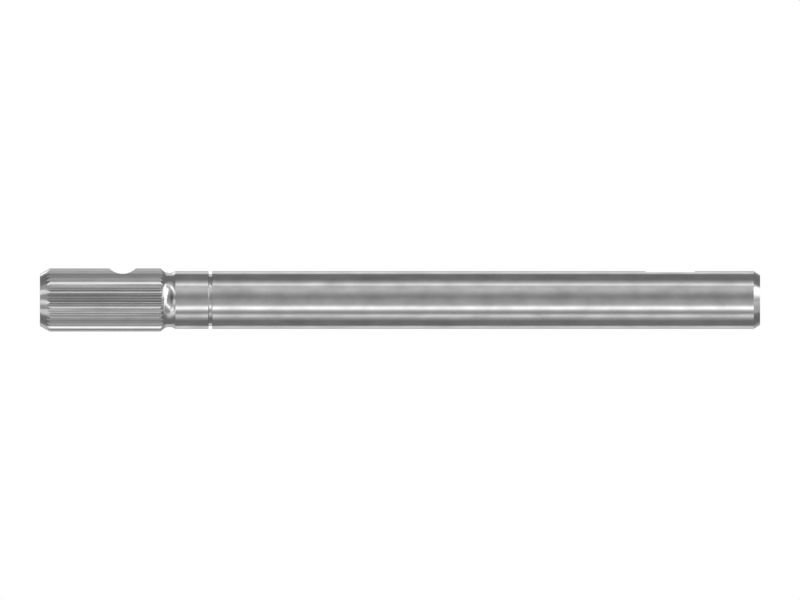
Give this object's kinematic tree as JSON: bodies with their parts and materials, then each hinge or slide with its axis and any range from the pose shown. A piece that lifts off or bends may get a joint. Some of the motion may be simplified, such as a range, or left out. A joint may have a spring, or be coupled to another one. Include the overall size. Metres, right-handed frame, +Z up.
{
  "type": "steering shaft",
  "caption": "Solid steel steering shaft with a serrated, notched joint end, a relief, a bearing journal with a ring groove, and a long plain shank with a keyway.",
  "frame": {"origin": "on the shaft's axis, at the face of the serrated end", "axes": "+X along the shaft's axis towards the plain end, +Z up through the pinch-bolt notch and the keyway, which are both on top"},
  "size_m": [0.25, 0.022, 0.022],
  "materials": {
    "ground_steel": "bright, ground and polished along its length"
  },
  "bodies": {
    "root": {"steering_shaft": "ground_steel"}
  },
  "joints": []
}
